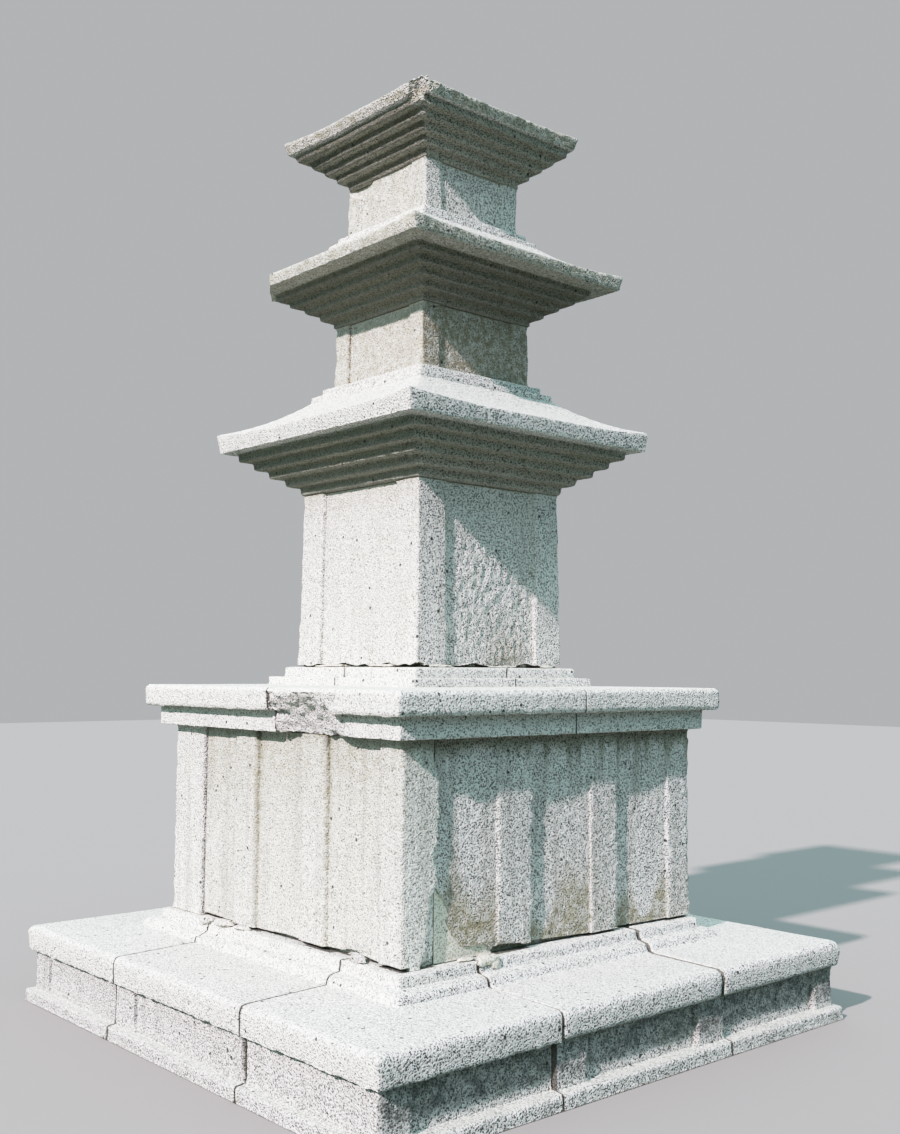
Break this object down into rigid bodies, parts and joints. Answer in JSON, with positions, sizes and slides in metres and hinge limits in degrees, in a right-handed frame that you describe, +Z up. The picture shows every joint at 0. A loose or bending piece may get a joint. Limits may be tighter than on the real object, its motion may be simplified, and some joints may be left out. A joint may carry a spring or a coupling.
{
  "type": "three-storey stone pagoda",
  "caption": "Square granite pagoda: solid panelled bodies under corbelled roof stones on a two-tier platform of jointed slabs, weathered and chipped, with no finial.",
  "frame": {"origin": "on the tower's axis at ground level, at the foot of the platform's ledge", "axes": "+Z up the tower; -Y out of the face with the mortared break, called the front; -X out of the face called the left"},
  "size_m": [2.624, 2.624, 4.222],
  "materials": {
    "platform_granite": "pecked, weathered granite, earth-stained at the foot",
    "cap_granite": "pale granite worn smooth on top, speckled black",
    "slab_granite": "coarse pecked granite with brown and yellow-green stains",
    "body_granite": "fine pecked granite with faint lichen",
    "roof_granite": "speckled granite, pale on top and dark-stained under the eaves",
    "rubble_fill": "packed rubble and earth, out of sight",
    "lime_mortar": "rough lime and earth mortar"
  },
  "bodies": {
    "root": {"lower_block_front_left": "platform_granite", "lower_block_front": "platform_granite", "lower_block_front_right": "platform_granite", "lower_block_right": "platform_granite", "lower_block_back_right": "platform_granite", "lower_block_back": "platform_granite", "lower_block_back_left": "platform_granite", "lower_block_left": "platform_granite", "lower_cap_front_left": "cap_granite", "lower_cap_front": "cap_granite", "lower_cap_front_right": "cap_granite", "lower_cap_right": "cap_granite", "lower_cap_back_right": "cap_granite", "lower_cap_back": "cap_granite", "lower_cap_back_left": "cap_granite", "lower_cap_left": "cap_granite", "lower_fill": "rubble_fill", "upper_fill": "rubble_fill", "upper_slab_front": "slab_granite", "upper_slab_right": "slab_granite", "upper_slab_back": "slab_granite", "upper_slab_left": "slab_granite", "mortar_patch": "lime_mortar", "upper_cap_front_left": "cap_granite", "upper_cap_front_right": "cap_granite", "upper_cap_back_right": "cap_granite", "upper_cap_back_left": "cap_granite", "body_1": "body_granite", "roof_1": "roof_granite", "body_2": "body_granite", "roof_2": "roof_granite", "body_3": "body_granite", "roof_3": "roof_granite"}
  },
  "joints": []
}
